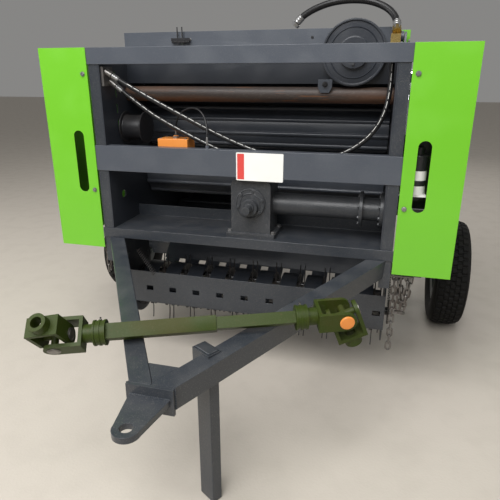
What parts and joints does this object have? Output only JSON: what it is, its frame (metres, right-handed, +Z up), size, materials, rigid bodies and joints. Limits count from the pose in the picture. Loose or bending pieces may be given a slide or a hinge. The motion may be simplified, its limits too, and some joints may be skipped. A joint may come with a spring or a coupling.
{
  "type": "round baler",
  "caption": "Towed round baler with a fixed roller chamber, A-frame drawbar, front pickup, side guards and a tailgate lifted by two cylinders.",
  "frame": {"origin": "on the floor under the middle of the machine's width and length", "axes": "+Y from the drawbar to the tailgate, +X to the machine's right as seen from the drawbar, +Z up"},
  "size_m": [2.22, 2.655, 1.7135],
  "materials": {
    "dark_paint": "dark blue-grey textured paint, satin",
    "lime_paint": "lime green gloss paint",
    "rim_paint": "light grey paint",
    "tyre": "worn tyre rubber",
    "steel": "bare steel, slightly oxidised",
    "rusty_tube": "brown rust on bare tube",
    "olive_paint": "olive green paint",
    "black_paint": "black gloss paint",
    "chrome": "hard chrome, polished",
    "hose_rubber": "black hose rubber, satin",
    "black_plastic": "black moulded plastic",
    "amber_plastic": "amber moulded plastic",
    "white_plastic": "white blow-moulded plastic",
    "brass": "machined brass"
  },
  "bodies": {
    "chassis": {"side_plate_left": "dark_paint", "side_plate_right": "dark_paint", "top_beam": "dark_paint", "mid_beam": "dark_paint", "shelf": "dark_paint", "cross_tubes": "dark_paint", "chassis_left": "dark_paint", "chassis_right": "dark_paint", "axle": "dark_paint", "drawbar_left": "dark_paint", "drawbar_right": "dark_paint", "hitch_plate": "dark_paint", "net_box": "dark_paint", "net_tube": "rusty_tube", "gearbox": "dark_paint", "drive_chains": "steel", "control_box": "amber_plastic", "lube_bottle": "white_plastic", "cable_drum": "black_plastic", "hose_ports": "steel", "hose_manifold": "brass", "pickup_frame": "dark_paint", "pickup_bands": "dark_paint", "pto_shaft": "olive_paint", "safety_chains": "steel", "hose_front": "hose_rubber", "hose_rear": "hose_rubber", "hose_top": "hose_rubber", "cable_loop": "hose_rubber"},
    "wheel_left": {"wheel_left": "rim_paint", "tyre_left": "tyre"},
    "wheel_right": {"wheel_right": "rim_paint", "tyre_right": "tyre"},
    "tailgate": {"gate_plates": "dark_paint", "gate_tubes": "dark_paint", "gate_covers": "lime_paint"},
    "barrel_left": {"barrel_left": "black_paint"},
    "barrel_right": {"barrel_right": "black_paint"},
    "rod_left": {"rod_left": "chrome"},
    "rod_right": {"rod_right": "chrome"},
    "roller_1": {"roller_1": "dark_paint"},
    "roller_2": {"roller_2": "dark_paint"},
    "roller_3": {"roller_3": "dark_paint"},
    "roller_4": {"roller_4": "dark_paint"},
    "roller_5": {"roller_5": "dark_paint"},
    "roller_6": {"roller_6": "dark_paint"},
    "roller_7": {"roller_7": "dark_paint"},
    "roller_8": {"roller_8": "dark_paint"},
    "roller_9": {"roller_9": "dark_paint"},
    "roller_10": {"roller_10": "dark_paint"},
    "roller_11": {"roller_11": "dark_paint"},
    "cross_shaft": {"drive_shaft": "steel"},
    "input_shaft": {"input_shaft": "steel"},
    "pickup_reel": {"pickup_reel": "steel"},
    "twine_disc": {"twine_disc": "dark_paint"},
    "stand_leg": {"stand_leg": "dark_paint"},
    "guard_left": {"guard_left": "lime_paint"},
    "guard_right": {"guard_right": "lime_paint"},
    "net_lid": {"net_lid": "dark_paint"}
  },
  "joints": [
    {"name": "wheel_left_spin", "type": "hinge", "parent": "chassis", "child": "wheel_left", "pos_m": [-1.02, 0.7075, 0.308], "axis": [1, 0, 0], "continuous": true},
    {"name": "wheel_right_spin", "type": "hinge", "parent": "chassis", "child": "wheel_right", "pos_m": [1.02, 0.7075, 0.308], "axis": [1, 0, 0], "continuous": true},
    {"name": "tailgate_lift", "type": "hinge", "parent": "chassis", "child": "tailgate", "pos_m": [0, 0.7125, 1.61], "axis": [1, 0, 0], "range_deg": [0, 62]},
    {"name": "cylinder_left_swing", "type": "hinge", "parent": "chassis", "child": "barrel_left", "pos_m": [-0.705, 0.6175, 0.74], "axis": [1, 0, 0], "range_deg": [-5.07, 0.2]},
    {"name": "cylinder_left_rod", "type": "slide", "parent": "barrel_left", "child": "rod_left", "axis": [0, 0.2822, 0.9594], "range_m": [0, 0.213]},
    {"name": "cylinder_right_swing", "type": "hinge", "parent": "chassis", "child": "barrel_right", "pos_m": [0.705, 0.6175, 0.74], "axis": [1, 0, 0], "range_deg": [-5.07, 0.2]},
    {"name": "cylinder_right_rod", "type": "slide", "parent": "barrel_right", "child": "rod_right", "axis": [0, 0.2822, 0.9594], "range_m": [0, 0.213]},
    {"name": "roller_1_spin", "type": "hinge", "parent": "chassis", "child": "roller_1", "pos_m": [0, 0.58568, 0.5767], "axis": [1, 0, 0], "continuous": true},
    {"name": "roller_2_spin", "type": "hinge", "parent": "chassis", "child": "roller_2", "pos_m": [0, 0.2392, 0.92318], "axis": [1, 0, 0], "continuous": true},
    {"name": "roller_3_spin", "type": "hinge", "parent": "chassis", "child": "roller_3", "pos_m": [0, 0.2392, 1.17682], "axis": [1, 0, 0], "continuous": true},
    {"name": "roller_4_spin", "type": "hinge", "parent": "chassis", "child": "roller_4", "pos_m": [0, 0.36602, 1.39648], "axis": [1, 0, 0], "continuous": true},
    {"name": "roller_5_spin", "type": "hinge", "parent": "chassis", "child": "roller_5", "pos_m": [0, 0.58568, 1.5233], "axis": [1, 0, 0], "continuous": true},
    {"name": "roller_6_spin", "type": "hinge", "parent": "tailgate", "child": "roller_6", "pos_m": [0, 0.83932, 1.5233], "axis": [1, 0, 0], "continuous": true},
    {"name": "roller_7_spin", "type": "hinge", "parent": "tailgate", "child": "roller_7", "pos_m": [0, 1.05898, 1.39648], "axis": [1, 0, 0], "continuous": true},
    {"name": "roller_8_spin", "type": "hinge", "parent": "tailgate", "child": "roller_8", "pos_m": [0, 1.1858, 1.17682], "axis": [1, 0, 0], "continuous": true},
    {"name": "roller_9_spin", "type": "hinge", "parent": "tailgate", "child": "roller_9", "pos_m": [0, 1.1858, 0.92318], "axis": [1, 0, 0], "continuous": true},
    {"name": "roller_10_spin", "type": "hinge", "parent": "tailgate", "child": "roller_10", "pos_m": [0, 1.05898, 0.70352], "axis": [1, 0, 0], "continuous": true},
    {"name": "roller_11_spin", "type": "hinge", "parent": "tailgate", "child": "roller_11", "pos_m": [0, 0.83932, 0.5767], "axis": [1, 0, 0], "continuous": true},
    {"name": "cross_shaft_spin", "type": "hinge", "parent": "chassis", "child": "cross_shaft", "pos_m": [0.655, -0.1115, 0.87], "axis": [1, 0, 0], "continuous": true},
    {"name": "input_shaft_spin", "type": "hinge", "parent": "chassis", "child": "input_shaft", "pos_m": [0.05, -0.2375, 0.87], "axis": [0, 1, 0], "continuous": true},
    {"name": "pickup_reel_spin", "type": "hinge", "parent": "chassis", "child": "pickup_reel", "pos_m": [0, 0.0925, 0.3], "axis": [1, 0, 0], "continuous": true},
    {"name": "twine_disc_spin", "type": "hinge", "parent": "chassis", "child": "twine_disc", "pos_m": [0.441, -0.0075, 1.502], "axis": [0, 1, 0], "continuous": true},
    {"name": "stand_leg_slide", "type": "slide", "parent": "chassis", "child": "stand_leg", "axis": [0, 0, 1], "range_m": [0, 0.28]},
    {"name": "guard_left_swing", "type": "hinge", "parent": "chassis", "child": "guard_left", "pos_m": [-0.89, 0.6525, 1], "axis": [0, 0, -1], "range_deg": [0, 110]},
    {"name": "guard_right_swing", "type": "hinge", "parent": "chassis", "child": "guard_right", "pos_m": [0.89, 0.6525, 1], "axis": [0, 0, 1], "range_deg": [0, 110]},
    {"name": "net_lid_swing", "type": "hinge", "parent": "chassis", "child": "net_lid", "pos_m": [0, 0.2465, 1.592], "axis": [-1, 0, 0], "range_deg": [0, 100]}
  ],
  "couplings": [
    {"joint": "cylinder_left_swing", "follows": "tailgate_lift", "ratio": -0.077},
    {"joint": "cylinder_left_rod", "follows": "tailgate_lift", "m_per_rad": 0.195},
    {"joint": "cylinder_right_swing", "follows": "tailgate_lift", "ratio": -0.077},
    {"joint": "cylinder_right_rod", "follows": "tailgate_lift", "m_per_rad": 0.195},
    {"joint": "roller_1_spin", "follows": "roller_2_spin", "ratio": 1},
    {"joint": "roller_3_spin", "follows": "roller_2_spin", "ratio": 1},
    {"joint": "roller_4_spin", "follows": "roller_2_spin", "ratio": 1},
    {"joint": "roller_5_spin", "follows": "roller_2_spin", "ratio": 1},
    {"joint": "roller_6_spin", "follows": "roller_2_spin", "ratio": 1},
    {"joint": "roller_7_spin", "follows": "roller_2_spin", "ratio": 1},
    {"joint": "roller_8_spin", "follows": "roller_2_spin", "ratio": 1},
    {"joint": "roller_9_spin", "follows": "roller_2_spin", "ratio": 1},
    {"joint": "roller_10_spin", "follows": "roller_2_spin", "ratio": 1},
    {"joint": "roller_11_spin", "follows": "roller_2_spin", "ratio": 1},
    {"joint": "cross_shaft_spin", "follows": "roller_2_spin", "ratio": 1},
    {"joint": "input_shaft_spin", "follows": "roller_2_spin", "ratio": 3},
    {"joint": "pickup_reel_spin", "follows": "roller_2_spin", "ratio": 1}
  ]
}
